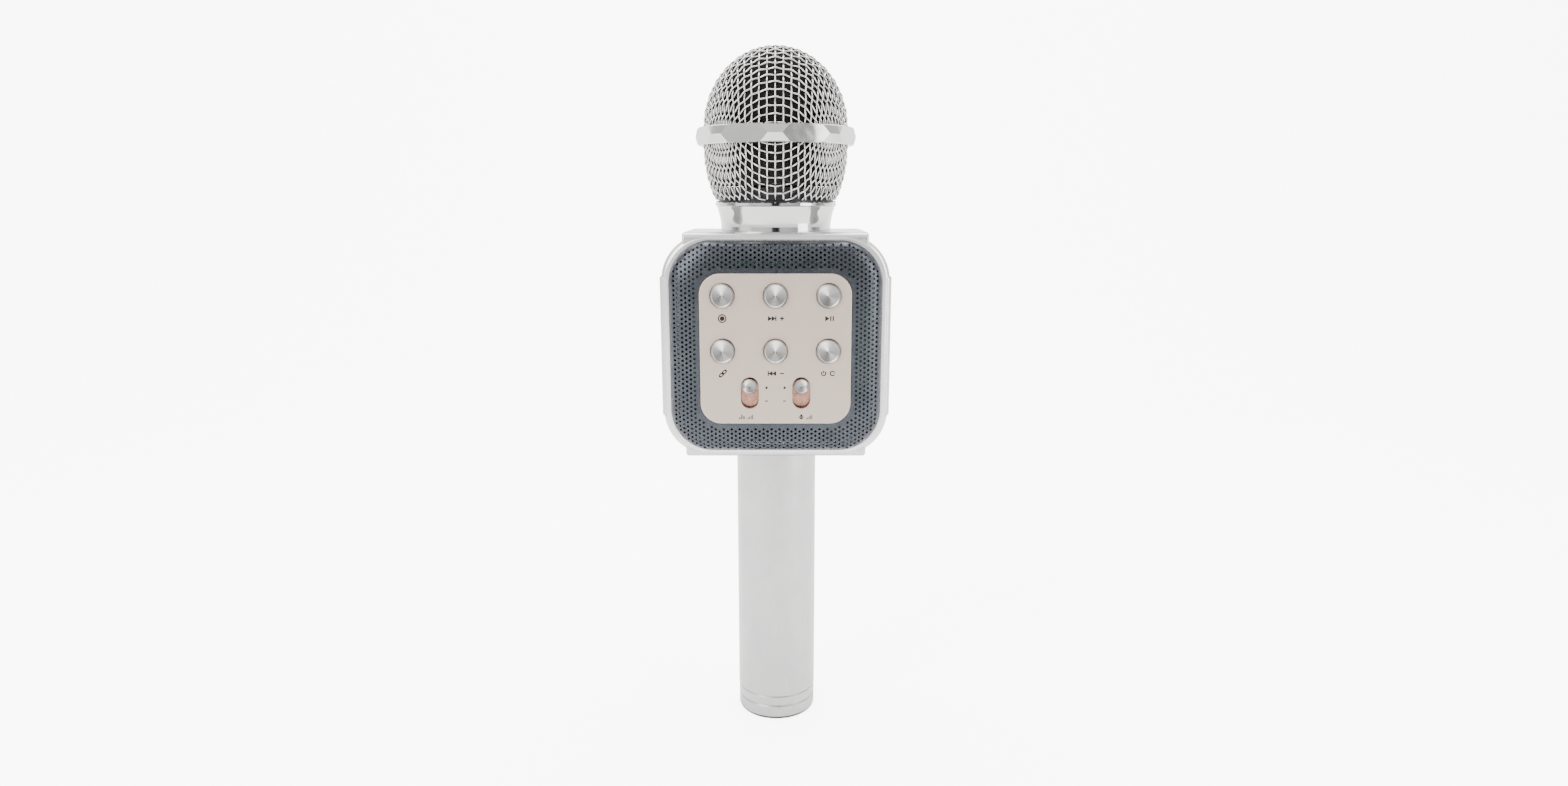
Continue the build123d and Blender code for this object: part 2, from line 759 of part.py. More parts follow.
def windscreen_foam():
    """The foam liner inside the mesh, open at its foot."""
    gap, thickness = 1.3, 5.0
    outline = []
    for inset in (gap, gap + thickness):
        foot = [(cup_radius(z, inset), z) for z in (208.0, 212.0, 216.0, cup_top_z)]
        outline.append(foot + mesh_profile("upper", inset))
    return turned(*outline[0], *reversed(outline[1]))


# ---- leads --------------------------------------------------------------------------------------
def inner_leads():
    """Two wires from the cell up to the foot of the board, and two from the capsule down to its top."""
    leads = []
    for x in (-2.5, 2.5):
        points = [(x, 0, 84.0), (x, 0, 112.0), (x, -8.0, 120.0), (x, board_back + 0.6, 124.0)]
        leads.append(wire_along(points, [6.0, 4.0], 0.6))
    for x in (-0.8, 0.8):
        points = [(x, 0, 218.9), (x, 0, 188.5), (x, -7.0, 181.0), (x, board_back + 0.5, 176.0)]
        leads.append(wire_along(points, [6.0, 4.0], 0.45))
    return leads


# ---- build --------------------------------------------------------------------------------------
shell = housing_shell()
button_places = {
    "record": ("left", "upper"), "next": ("middle", "upper"), "play": ("right", "upper"),
    "pairing": ("left", "lower"), "previous": ("middle", "lower"), "power": ("right", "lower"),
}
for button, (column, row) in button_places.items():
    save(f"{button}_button", button_cap(button_columns[column], button_rows[row]))
for slider, x in (("remix", -slot_x), ("mic", slot_x)):
    save(f"{slider}_slider", slider_knob(x))
for side in trim_sides:
    save(f"{side}_trim", trim(side))

single_pieces = {
    "handle_tube": handle_tube(), "tail_cap": tail_cap(), "tail_base": tail_base(),
    "contact_spring": contact_spring(), "battery_carrier": battery_carrier(),
    "battery_cell": battery_cell(), "handle_socket": handle_socket(),
    "front_housing": front_housing(shell), "rear_housing": rear_housing(shell),
    "front_grille": front_grille(), "rear_grille": rear_grille(),
    "front_baffle": front_baffle(), "rear_baffle": rear_baffle(), "control_panel": control_panel(),
    "control_board": control_board(), "radio_module": radio_module(), "usb_socket": usb_socket(),
    "audio_jack": audio_jack(), "card_slot": card_slot(),
    "speaker_frame": speaker_frame(), "speaker_magnet": speaker_magnet(), "voice_coil": voice_coil(),
    "speaker_surround": speaker_surround(), "speaker_spider": speaker_spider(),
    "neck_collar": neck_collar(), "capsule_holder": capsule_holder(), "capsule_boot": capsule_boot(),
    "mic_capsule": mic_capsule(), "head_base_ring": head_base_ring(),
    "lower_grille": mesh_shell_solid("lower", ring_z - 0.05, 0.0, mesh_shell),
    "upper_grille": mesh_shell_solid("upper", ring_z + 0.05, 0.0, mesh_shell),
    "grille_ring": grille_ring(), "windscreen_foam": windscreen_foam(),
}
for name, piece in single_pieces.items():
    save(name, piece)

grouped_pieces = {
    "socket_screws": socket_screws(), "housing_screws": housing_screws(), "board_screws": board_screws(),
    "speaker_screws": speaker_screws(), "switch_bodies": switch_bodies(), "slider_trays": slider_trays(),
    "slider_pots": slider_pots(), "board_chips": board_chips(), "capacitors": capacitors(),
    "speaker_yoke": speaker_yoke(), "speaker_cone": speaker_cone(), "inner_leads": inner_leads(),
    "cell_contacts": cell_contacts(),
}
for name, pieces in grouped_pieces.items():
    save(name, *pieces)
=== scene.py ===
import math

import bmesh
import bpy
from mathutils import Matrix, Vector
from mathutils.kdtree import KDTree


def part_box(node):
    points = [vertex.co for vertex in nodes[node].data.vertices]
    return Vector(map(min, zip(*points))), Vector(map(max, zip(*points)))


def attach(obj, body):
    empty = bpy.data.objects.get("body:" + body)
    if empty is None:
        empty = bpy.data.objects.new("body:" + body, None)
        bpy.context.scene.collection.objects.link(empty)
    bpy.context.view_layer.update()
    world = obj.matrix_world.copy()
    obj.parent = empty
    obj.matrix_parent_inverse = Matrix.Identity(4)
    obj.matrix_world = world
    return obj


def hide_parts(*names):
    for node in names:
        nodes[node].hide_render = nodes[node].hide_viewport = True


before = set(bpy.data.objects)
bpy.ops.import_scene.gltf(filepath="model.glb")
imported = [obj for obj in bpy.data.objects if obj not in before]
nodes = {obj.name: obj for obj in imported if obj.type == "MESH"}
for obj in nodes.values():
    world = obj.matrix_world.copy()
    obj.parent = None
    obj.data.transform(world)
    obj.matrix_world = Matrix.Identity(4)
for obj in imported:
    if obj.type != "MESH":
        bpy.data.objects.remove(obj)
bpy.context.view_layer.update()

mm = 0.001


def finishMesh(bm, name, body, sharpAngle=35.0):
    # makes the bmesh a piece on that body, smooth but for the edges sharper than sharpAngle
    limit = math.radians(sharpAngle)
    for edge in bm.edges:
        edge.smooth = len(edge.link_faces) != 2 or edge.calc_face_angle(0.0) < limit
    for face in bm.faces:
        face.smooth = True
    mesh = bpy.data.meshes.new(name)
    bm.to_mesh(mesh)
    bm.free()
    piece = bpy.data.objects.new(name, mesh)
    bpy.context.scene.collection.objects.link(piece)
    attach(piece, body)
    return piece


def middleOf(node):
    low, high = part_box(node)
    return (low + high) / 2


def newMaterial(name, colour, metallic, roughness, **others):
    made = bpy.data.materials.new(name)
    made.use_nodes = True
    shader = made.node_tree.nodes["Principled BSDF"]
    shader.inputs["Base Color"].default_value = (*colour, 1)
    shader.inputs["Metallic"].default_value = metallic
    shader.inputs["Roughness"].default_value = roughness
    for socket, value in others.items():
        shader.inputs[socket.replace("_", " ")].default_value = value
    made.diffuse_color = (*colour, 1)
    return made


def addNode(made, kind, **settings):
    node = made.node_tree.nodes.new(kind)
    for name, value in settings.items():
        setattr(node, name, value)
    return node


def link(made, start, end):
    made.node_tree.links.new(start, end)


def shaderOf(made):
    return made.node_tree.nodes["Principled BSDF"]


def numberOrLink(made, value, socket):
    # the value is a plain number or another node's output
    if isinstance(value, (int, float)):
        socket.default_value = value
    else:
        link(made, value, socket)


def blendValues(made, share, start, end):
    # share 0 gives the start and 1 gives the end
    mixed = addNode(made, "ShaderNodeMix", data_type="FLOAT")
    link(made, share, mixed.inputs["Factor"])
    numberOrLink(made, start, mixed.inputs["A"])
    numberOrLink(made, end, mixed.inputs["B"])
    return mixed.outputs["Result"]


def objectCoordinates(made, scale=(1, 1, 1), location=(0, 0, 0), rotation=(0, 0, 0)):
    coordinates = addNode(made, "ShaderNodeTexCoord")
    mapping = addNode(made, "ShaderNodeMapping")
    mapping.inputs["Location"].default_value = location
    mapping.inputs["Rotation"].default_value = rotation
    mapping.inputs["Scale"].default_value = scale
    link(made, coordinates.outputs["Object"], mapping.inputs["Vector"])
    return mapping.outputs["Vector"]


def noiseOf(made, grain, detail=3.0, stretch=(1, 1, 1)):
    # grain is the size of the noise in metres
    noise = addNode(made, "ShaderNodeTexNoise")
    noise.inputs["Scale"].default_value = 1 / grain
    noise.inputs["Detail"].default_value = detail
    link(made, objectCoordinates(made, stretch), noise.inputs["Vector"])
    return noise.outputs["Fac"]


def spread(made, value, low, high, fromLow=0.3, fromHigh=0.7):
    ranged = addNode(made, "ShaderNodeMapRange")
    ranged.inputs["From Min"].default_value = fromLow
    ranged.inputs["From Max"].default_value = fromHigh
    ranged.inputs["To Min"].default_value = low
    ranged.inputs["To Max"].default_value = high
    link(made, value, ranged.inputs["Value"])
    return ranged.outputs["Result"]


def varyColour(made, value, low, high, fromLow=0.3, fromHigh=0.7):
    mixed = addNode(made, "ShaderNodeMix", data_type="RGBA")
    mixed.inputs["A"].default_value = (*low, 1)
    mixed.inputs["B"].default_value = (*high, 1)
    factor = spread(made, value, 0, 1, fromLow, fromHigh)
    link(made, factor, mixed.inputs["Factor"])
    link(made, mixed.outputs["Result"], shaderOf(made).inputs["Base Color"])


def varyRoughness(made, value, low, high):
    link(made, spread(made, value, low, high), shaderOf(made).inputs["Roughness"])


def addBump(made, value, depth, strength=1.0):
    # depth is the real height of the relief in metres
    bump = addNode(made, "ShaderNodeBump")
    bump.inputs["Strength"].default_value = strength
    bump.inputs["Distance"].default_value = depth
    link(made, value, bump.inputs["Height"])
    link(made, bump.outputs["Normal"], shaderOf(made).inputs["Normal"])


def dress(made, *names):
    # gives a CAD node this material
    for name in names:
        mesh = nodes[name].data
        mesh.materials.clear()
        mesh.materials.append(made)


weave = {
    "pitch": 2.8 * mm,
    "wireRadius": 0.3 * mm,
    "stepsPerCell": 4,
    "sides": 2,                 # bevel resolution of the wire
    "ringOverlap": 2.6 * mm,    # how far the wires run on under the ring
    "domeWidest": 0.2 * mm,     # below the ring's top
    "cupWidest": 0.9 * mm,      # below the ring's foot
    "cupDepth": 35.2 * mm,      # from the ring's foot to the pole of the cup's form, which is cut off
    "cupEdge": 0.35 * mm,       # how far above the cup's foot the wires stop
    "mostCells": 60,
    "closeEnough": 0.0005 * mm,
}


def steelWire():
    made = newMaterial("steelWire", (0.72, 0.72, 0.72), 1.0, 0.2)
    varyColour(made, noiseOf(made, 1.6 * mm), (0.38, 0.37, 0.365), (0.62, 0.61, 0.6))
    varyRoughness(made, noiseOf(made, 0.5 * mm), 0.14, 0.3)
    addBump(made, noiseOf(made, 0.12 * mm), 0.01 * mm)
    return made


class WireForm:
    # half an ellipsoid about the handle's axis, carried on as a cylinder past its widest place
    def __init__(self, radius, widestZ, poleZ):
        self.radius = radius
        self.widestZ = widestZ
        self.poleZ = poleZ
        self.height = abs(poleZ - widestZ)
        self.up = 1 if poleZ > widestZ else -1

    def gradient(self, point):
        along = (point.z - self.widestZ) * self.up
        slope = along / self.height ** 2 if along > 0 else 0
        return Vector((point.x / self.radius ** 2, point.y / self.radius ** 2, slope * self.up))

    def miss(self, point):
        along = max(0, (point.z - self.widestZ) * self.up)
        flat = (point.x ** 2 + point.y ** 2) / self.radius ** 2
        return (flat + (along / self.height) ** 2 - 1) / 2

    def normal(self, point):
        return self.gradient(point).normalized()


def nextKnot(form, guess, neighbours, pitch):
    # the point on the form that is one pitch from each neighbour
    # with only one neighbour it stays in the upright plane of the guess
    point = guess.copy()
    for attempt in range(25):
        rows = [form.gradient(point)]
        misses = [form.miss(point)]
        for neighbour in neighbours:
            away = point - neighbour
            rows.append(away)
            misses.append((away.length_squared - pitch ** 2) / 2)
        if len(neighbours) == 1:
            across = Vector((-guess.y, guess.x, 0)).normalized()
            rows.append(across)
            misses.append(across.dot(point))
        system = Matrix(rows)
        if abs(system.determinant()) < 1e-12:
            return None
        change = system.inverted() @ Vector(misses)
        point -= change
        if change.length < weave["closeEnough"]:
            return point
    return None


def quarterNet(form, pitch, farZ):
    # knots of one quarter of the cloth, indexed by how many cells they are from the pole each way,
    # as far as one cell past farZ
    pole = Vector((0, 0, form.poleZ))
    knots = {(0, 0): pole}

    def isKept(knot):
        return knot is not None and (knot.z - farZ) * form.up >= -pitch

    # the two wires that cross at the pole come first
    for key in ((1, 0), (0, 1)):
        last, before = pole, pole - Vector((*key, 0)) * pitch
        for count in range(1, weave["mostCells"]):
            knot = nextKnot(form, last + (last - before), [last], pitch)
            if not isKept(knot):
                break
            knots[(key[0] * count, key[1] * count)] = knot
            before, last = last, knot
    for total in range(2, weave["mostCells"] * 3 // 2):
        for column in range(1, total):
            row = total - column
            left, below = knots.get((column - 1, row)), knots.get((column, row - 1))
            corner = knots.get((column - 1, row - 1))
            if left is None or below is None or corner is None:
                continue
            knot = nextKnot(form, left + below - corner, [left, below], pitch)
            if isKept(knot) and (knot - corner).length > 0.5 * pitch:
                knots[(column, row)] = knot
    return knots


def wholeNet(form, pitch, farZ):
    net = {}
    for (column, row), knot in quarterNet(form, pitch, farZ).items():
        for sx in (-1, 1):
            for sy in (-1, 1):
                net[(sx * column, sy * row)] = Vector((sx * knot.x, sy * knot.y, knot.z))
    return net


def wirePaths(form, net, lowZ, highZ):
    # one list of points for each wire, waving over and under the wires that it crosses
    reach = max(abs(column) for column, row in net)
    lift = weave["wireRadius"]
    steps = weave["stepsPerCell"]
    paths = []
    for family in (0, 1):
        for wire in range(-reach, reach + 1):
            run = []
            for place in range(-reach, reach + 1):
                key, nextKey = (wire, place), (wire, place + 1)
                if family == 1:
                    key, nextKey = key[::-1], nextKey[::-1]
                knot, following = net.get(key), net.get(nextKey)
                if knot is None or following is None:
                    continue
                side = 1 if (wire + place + family) % 2 else -1
                for step in range(steps):
                    share = step / steps
                    point = knot.lerp(following, share)
                    point += form.normal(point) * lift * side * math.cos(math.pi * share)
                    run.append(point)
            run = [point if lowZ <= point.z <= highZ else None for point in run] + [None]
            piece = []
            for point in run:
                if point is not None:
                    piece.append(point)
                else:
                    if len(piece) > 2:
                        paths.append(piece)
                    piece = []
    return paths


def wireCloth(name, body, node, radius, widestZ, poleZ, lowZ, highZ):
    form = WireForm(radius, widestZ, poleZ)
    farZ = lowZ if form.up > 0 else highZ
    paths = wirePaths(form, wholeNet(form, weave["pitch"], farZ), lowZ, highZ)
    curve = bpy.data.curves.new(name + "Curve", "CURVE")
    curve.dimensions = "3D"
    curve.bevel_depth = weave["wireRadius"]
    curve.bevel_resolution = weave["sides"]
    curve.use_fill_caps = True
    for path in paths:
        spline = curve.splines.new("POLY")
        spline.points.add(len(path) - 1)
        for target, point in zip(spline.points, path):
            target.co = (*point, 1)
    holder = bpy.data.objects.new(name + "Holder", curve)
    bpy.context.scene.collection.objects.link(holder)
    graph = bpy.context.evaluated_depsgraph_get()
    mesh = bpy.data.meshes.new_from_object(holder.evaluated_get(graph))
    mesh.name = name
    bpy.data.objects.remove(holder)
    piece = bpy.data.objects.new(name, mesh)
    bpy.context.scene.collection.objects.link(piece)
    mesh.polygons.foreach_set("use_smooth", [True] * len(mesh.polygons))
    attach(piece, body)
    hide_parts(node)
    print(name, len(paths), "wires,", len(mesh.polygons), "faces")
    return piece


def makeHeadMesh():
    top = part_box("upper_grille")[1]
    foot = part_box("lower_grille")[0]
    ringLow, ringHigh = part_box("grille_ring")
    inset = 2 * weave["wireRadius"]
    overlap = weave["ringOverlap"]
    radius = top.x - inset
    wire = steelWire()
    dome = wireCloth("upperWireMesh", "mesh_head", "upper_grille", radius,
                     widestZ=ringHigh.z - weave["domeWidest"], poleZ=top.z - inset,
                     lowZ=ringHigh.z - overlap, highZ=top.z)
    cup = wireCloth("lowerWireMesh", "mesh_head", "lower_grille", radius,
                    widestZ=ringLow.z - weave["cupWidest"], poleZ=ringLow.z - weave["cupDepth"],
                    lowZ=foot.z + weave["cupEdge"], highZ=ringLow.z + overlap)
    for piece in (dome, cup):
        piece.data.materials.append(wire)


foam = {
    "thickness": 4.8 * mm,
    "gap": 0.05 * mm,        # to the room that the foam has
    "footDrop": 1.3 * mm,    # how far the foot reaches down to the base ring
    "footShare": 0.955,      # the foot's radius against the widest
    "straightFrom": 9 * mm,  # above the foot
    "crownFrom": 3 * mm,     # above the dome's foot
    "turnSteps": 96,
    "weld": 0.01 * mm,
}


def blackFoam():
    made = newMaterial("blackFoam", (0.006, 0.006, 0.006), 0.0, 0.95, Specular_IOR_Level=0.08)
    cells = addNode(made, "ShaderNodeTexVoronoi")
    cells.inputs["Scale"].default_value = 1 / (0.7 * mm)
    link(made, objectCoordinates(made), cells.inputs["Vector"])
    varyColour(made, cells.outputs["Distance"], (0.001, 0.001, 0.001), (0.012, 0.0115, 0.011), 0.0, 0.7)
    addBump(made, cells.outputs["Distance"], 0.35 * mm)
    return made


def makeFoam():
    low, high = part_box("windscreen_foam")
    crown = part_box("upper_grille")[0].z + foam["crownFrom"]
    radius = high.x - foam["gap"]
    foot = low.z - foam["footDrop"]
    profile = []
    for layer, inset in ((0, 0), (1, foam["thickness"])):
        wall = radius - inset
        rise = high.z - inset - crown
        points = [(wall * foam["footShare"], 0, foot), (wall, 0, low.z + foam["straightFrom"])]
        for angle in (math.radians(10 * step) for step in range(10)):
            points.append((wall * math.cos(angle), 0, crown + rise * math.sin(angle)))
        profile.extend(points if layer == 0 else reversed(points))
    bm = bmesh.new()
    verts = [bm.verts.new(point) for point in profile]
    edges = [bm.edges.new((a, b)) for a, b in zip(verts, verts[1:])]
    edges.append(bm.edges.new((verts[-1], verts[0])))
    bmesh.ops.spin(bm, geom=verts + edges, cent=(0, 0, 0), axis=(0, 0, 1), angle=math.tau,
                   steps=foam["turnSteps"], use_merge=True)
    bmesh.ops.remove_doubles(bm, verts=bm.verts, dist=foam["weld"])
    bmesh.ops.dissolve_degenerate(bm, edges=bm.edges, dist=foam["weld"])
    bmesh.ops.recalc_face_normals(bm, faces=bm.faces)
    piece = finishMesh(bm, "foamLiner", "mesh_head")
    piece.data.materials.append(blackFoam())
    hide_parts("windscreen_foam")
    print("foam liner made")


perforation = {
    "pitch": 1.65 * mm,
    "holeRadius": 0.46 * mm,
    "sheet": 0.55 * mm,
    "outerRim": 0.9 * mm,
    "innerRim": 1.5 * mm,
    "outerCorner": 15.0 * mm,
    "panelCorner": 7.65 * mm,
    "panelGap": 0.15 * mm,
    "skirt": 0.9 * mm,       # the edge that turns back into the housing
    "frontRun": 11.4 * mm,   # how far in from the edge the sheet goes on rising
    "rearRun": 26.0 * mm,
}


def grilleSteel():
    made = newMaterial("grilleSteel", (0.045, 0.05, 0.058), 0.85, 0.34)
    varyColour(made, noiseOf(made, 6 * mm), (0.04, 0.045, 0.052), (0.052, 0.057, 0.065))
    varyRoughness(made, noiseOf(made, 1.2 * mm), 0.26, 0.4)
    addBump(made, noiseOf(made, 0.2 * mm), 0.008 * mm)
    return made


def gauge(x, z, half, corner):
    # 1 on the rounded square of that size, less inside it and more outside it
    x, z = abs(x), abs(z)
    flat = half - corner
    if z * half <= x * flat or x * half <= z * flat:
        return max(x, z) / half
    reach = x * x + z * z
    root = (flat * (x + z)) ** 2 - reach * (2 * flat * flat - corner * corner)
    return reach / (flat * (x + z) + math.sqrt(max(root, 0)))


def triangleLattice(half, pitch):
    # a sheet of equal triangles whose corners are where the holes go
    count = int(2 * half / (pitch * math.sqrt(0.75))) // 2 * 2 + 4
    rows = int(2 * half / pitch) // 2 * 2 + 4
    bm = bmesh.new()
    bmesh.ops.create_grid(bm, x_segments=count, y_segments=rows, size=1)
    width = count * pitch * math.sqrt(0.75) / 2
    for vert in bm.verts:
        column = round((vert.co.x + 1) / 2 * count)
        z = vert.co.y * rows * pitch / 2 + (pitch / 2 if column % 2 else 0)
        vert.co = Vector((vert.co.x * width, 0, z))
    bmesh.ops.triangulate(bm, faces=bm.faces, quad_method="SHORT_EDGE")
    return bm


def makeGrille(name, node, side, run, panelNode=None):
    # side is -1 for the front and 1 for the rear, and run is how far in the sheet goes on rising
    low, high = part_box(node)
    centre = (low + high) / 2
    half = (high.x - low.x) / 2
    edgeY, topY = (high.y, low.y) if side < 0 else (low.y, high.y)
    foldY = edgeY + side * perforation["skirt"]
    corner = perforation["outerCorner"]
    hole = None
    if panelNode:
        panelLow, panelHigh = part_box(panelNode)
        hole = (panelHigh.x - panelLow.x) / 2 + perforation["panelGap"]

    def outerGauge(vert):
        return gauge(vert.co.x, vert.co.z, half, corner)

    def innerGauge(vert):
        if not hole:
            return math.inf
        return gauge(vert.co.x, vert.co.z, hole, perforation["panelCorner"])

    bm = triangleLattice(half, perforation["pitch"])
    lost = [face for face in bm.faces if all(outerGauge(v) > 1 for v in face.verts)
            or all(innerGauge(v) < 1 for v in face.verts)]
    bmesh.ops.delete(bm, geom=lost, context="FACES")
    for vert in bm.verts:
        if outerGauge(vert) > 1:
            vert.co *= 1 / outerGauge(vert)
        elif innerGauge(vert) < 1:
            vert.co *= 1 / innerGauge(vert)
    bmesh.ops.dissolve_degenerate(bm, edges=bm.edges, dist=0.02 * mm)
    outerLimit = 1 - perforation["outerRim"] / half
    innerLimit = 1 + perforation["innerRim"] / hole if hole else 0
    pierced = [v for v in bm.verts if outerGauge(v) < outerLimit and innerGauge(v) > innerLimit]
    centres = KDTree(len(pierced))
    for count, vert in enumerate(pierced):
        centres.insert(vert.co, count)
    centres.balance()
    made = bmesh.ops.bevel(bm, geom=pierced, offset=perforation["holeRadius"], offset_type="OFFSET",
                           segments=2, profile=0.5, affect="VERTICES", material=-1)
    # the faces left where the corners were become the holes, with their edges drawn out to circles
    for vert in {v for face in made["faces"] for v in face.verts}:
        middle = centres.find(vert.co)[0]
        away = vert.co - middle
        if away.length > 0.1 * perforation["holeRadius"]:
            vert.co = middle + away.normalized() * perforation["holeRadius"]
    bmesh.ops.delete(bm, geom=made["faces"], context="FACES")
    rise = abs(topY - foldY)
    for vert in bm.verts:
        shrink = half * (1 - outerGauge(vert))
        share = max(0.0, 1 - shrink / run)
        vert.co.y = foldY + side * rise * math.sqrt(max(0.0, 1 - share * share))
    # the outer edge turns back as a short skirt
    rim = [e for e in bm.edges if e.is_boundary and all(outerGauge(v) > 0.9995 for v in e.verts)]
    skirt = bmesh.ops.extrude_edge_only(bm, edges=rim)["geom"]
    for vert in (g for g in skirt if isinstance(g, bmesh.types.BMVert)):
        vert.co.y = edgeY
    bmesh.ops.recalc_face_normals(bm, faces=bm.faces)
    flat = max(bm.faces, key=lambda f: abs(f.normal.y))
    if flat.normal.y * side < 0:
        bmesh.ops.reverse_faces(bm, faces=bm.faces)
    bmesh.ops.solidify(bm, geom=bm.faces[:], thickness=perforation["sheet"])
    bmesh.ops.translate(bm, verts=bm.verts, vec=(centre.x, 0, centre.z))
    piece = finishMesh(bm, name, "root", 40)
    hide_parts(node)
    print(name, len(pierced), "holes,", len(piece.data.polygons), "faces")
    return piece


def makeGrilles():
    steel = grilleSteel()
    front = makeGrille("frontPerforatedGrille", "front_grille", -1, perforation["frontRun"], "control_panel")
    rear = makeGrille("rearPerforatedGrille", "rear_grille", 1, perforation["rearRun"])
    for piece in (front, rear):
        piece.data.materials.append(steel)


legend = {
    "thickness": 0.03 * mm,
    "proud": 0.02 * mm,
    "line": 0.4 * mm,
    "height": 2.0 * mm,
    "gap": 7.95 * mm,        # from a button's middle down to its icon
    "sliderGap": 1.9 * mm,   # from a tray's foot down to its icon
    "signAcross": 3.2 * mm,  # plus and minus signs, from the middle of the panel
    "signSize": 1.0 * mm,
}


def prism(bm, x, z, radius, sides, turn=0.0, stretch=(1, 1)):
    made = bmesh.ops.create_cone(bm, cap_ends=True, segments=sides, radius1=radius, radius2=radius,
                                 depth=legend["thickness"])["verts"]
    bmesh.ops.rotate(bm, verts=made, matrix=Matrix.Rotation(turn, 3, "Z"))
    bmesh.ops.scale(bm, verts=made, vec=(stretch[0], stretch[1], 1))
    standUp(bm, made, x, z)


def bar(bm, x, z, width, height, turn=0.0):
    made = bmesh.ops.create_cube(bm, size=1)["verts"]
    bmesh.ops.scale(bm, verts=made, vec=(width, height, legend["thickness"]))
    bmesh.ops.rotate(bm, verts=made, matrix=Matrix.Rotation(turn, 3, "Z"))
    standUp(bm, made, x, z)


def arc(bm, x, z, radius, start, sweep, stretch=(1, 1), turn=0.0):
    # a flat ring or part of one, swept from a small rectangle
    half, thick = legend["line"] / 2, legend["thickness"] / 2
    section = ((-half, -thick), (half, -thick), (half, thick), (-half, thick))
    corners = [bm.verts.new((radius + out, 0, up)) for out, up in section]
    face = bm.faces.new(corners)
    before = set(bm.verts) - set(corners)
    closed = sweep > math.tau - 0.01
    bmesh.ops.spin(bm, geom=[face, *face.edges, *corners], cent=(0, 0, 0), axis=(0, 0, 1), angle=sweep,
                   steps=28, use_merge=closed)
    ring = [v for v in bm.verts if v not in before]
    if closed:
        # the first section is left standing inside the ring
        inner = [f for f in bm.faces if all(v in ring and abs(v.co.y) < 1e-9 and v.co.x > 0 for v in f.verts)]
        bmesh.ops.delete(bm, geom=inner, context="FACES_ONLY")
    bmesh.ops.rotate(bm, verts=ring, matrix=Matrix.Rotation(start, 3, "Z"))
    bmesh.ops.scale(bm, verts=ring, vec=(stretch[0], stretch[1], 1))
    bmesh.ops.rotate(bm, verts=ring, matrix=Matrix.Rotation(turn, 3, "Z"))
    standUp(bm, ring, x, z)


def standUp(bm, verts, x, z):
    # from flat on the bench to facing the front of the panel
    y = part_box("control_panel")[0].y - legend["proud"] + legend["thickness"] / 2
    bmesh.ops.rotate(bm, verts=verts, matrix=Matrix.Rotation(math.radians(90), 3, "X"))
    bmesh.ops.translate(bm, verts=verts, vec=(x, y, z))


def arrow(bm, x, z, way, size):
    prism(bm, x, z, size * 0.62, 3, math.radians(-90 * way), (0.9, 1.0))


def plus(bm, x, z, size):
    bar(bm, x, z, size, legend["line"])
    bar(bm, x, z, legend["line"], size)


def iconSpot(button):
    middle = middleOf(button)
    return middle.x, middle.z - legend["gap"]


def recordIcon(bm):
    x, z = iconSpot("record_button")
    prism(bm, x, z, 0.42 * legend["height"], 32)
    arc(bm, x, z, 0.66 * legend["height"], 0, math.tau)


def skipIcon(bm, button, way):
    # two arrows against a bar, with a plus for louder or a minus for quieter
    x, z = iconSpot(button)
    tall = 0.85 * legend["height"]
    left = x - 1.2 * mm
    arrow(bm, left - way * 0.95 * mm, z, way, tall)
    arrow(bm, left + way * 0.35 * mm, z, way, tall)
    bar(bm, left + way * 1.35 * mm, z, legend["line"], tall)
    if way > 0:
        plus(bm, x + 2.3 * mm, z, 1.5 * mm)
    else:
        bar(bm, x + 2.3 * mm, z, 1.5 * mm, legend["line"])


def playIcon(bm):
    x, z = iconSpot("play_button")
    arrow(bm, x - 0.7 * mm, z, 1, 0.9 * legend["height"])
    for across in (0.75 * mm, 1.6 * mm):
        bar(bm, x + across, z, 1.1 * legend["line"], 0.85 * legend["height"])


def chainIcon(bm):
    x, z = iconSpot("pairing_button")
    for shift in (-0.5 * mm, 0.5 * mm):
        arc(bm, x + shift, z + shift, 0.55 * mm, 0, math.tau, (1.5, 0.9), math.radians(45))


def powerIcon(bm):
    x, z = iconSpot("power_button")
    left, right, radius = x - 1.6 * mm, x + 1.5 * mm, 0.75 * mm
    arc(bm, left, z, radius, math.radians(125), math.radians(290))
    bar(bm, left, z + 0.5 * mm, legend["line"], 0.9 * mm)
    # the loop with an arrow head changes the mode
    arc(bm, right, z, radius, math.radians(60), math.radians(270))
    prism(bm, x + 2.15 * mm, z + 0.5 * mm, 0.45 * mm, 3, math.radians(-60))


def risingBar(bm, x, floorZ, width, tall):
    bar(bm, x, floorZ + tall / 2 + 0.05 * mm, width, tall)


def sliderIcons(bm, rowZ):
    remix, mic = middleOf("remix_slider").x, middleOf("mic_slider").x
    floorZ = rowZ - legend["height"] / 2
    for count, tall in enumerate((0.8, 1.7, 1.2)):
        risingBar(bm, remix - 2.2 * mm + count * 0.75 * mm, floorZ, 0.42 * mm, tall * mm)
    # a small microphone on its stand
    left = mic - 1.4 * mm
    prism(bm, left, rowZ + 0.35 * mm, 0.42 * mm, 24, 0, (1, 1.35))
    arc(bm, left, rowZ + 0.2 * mm, 0.72 * mm, math.radians(190), math.radians(160))
    bar(bm, left, rowZ - 0.75 * mm, 0.9 * mm, 0.8 * legend["line"])
    # a volume wedge beside each
    for x in (remix, mic):
        for count in range(5):
            risingBar(bm, x + (0.35 + 0.5 * count) * mm, floorZ, 0.26 * mm, (0.35 + 0.33 * count) * mm)


def volumeSigns(bm, slotZ):
    for x in (-legend["signAcross"], legend["signAcross"]):
        plus(bm, x, slotZ + 1.9 * mm, legend["signSize"])
        bar(bm, x, slotZ - 2.9 * mm, legend["signSize"], legend["line"])


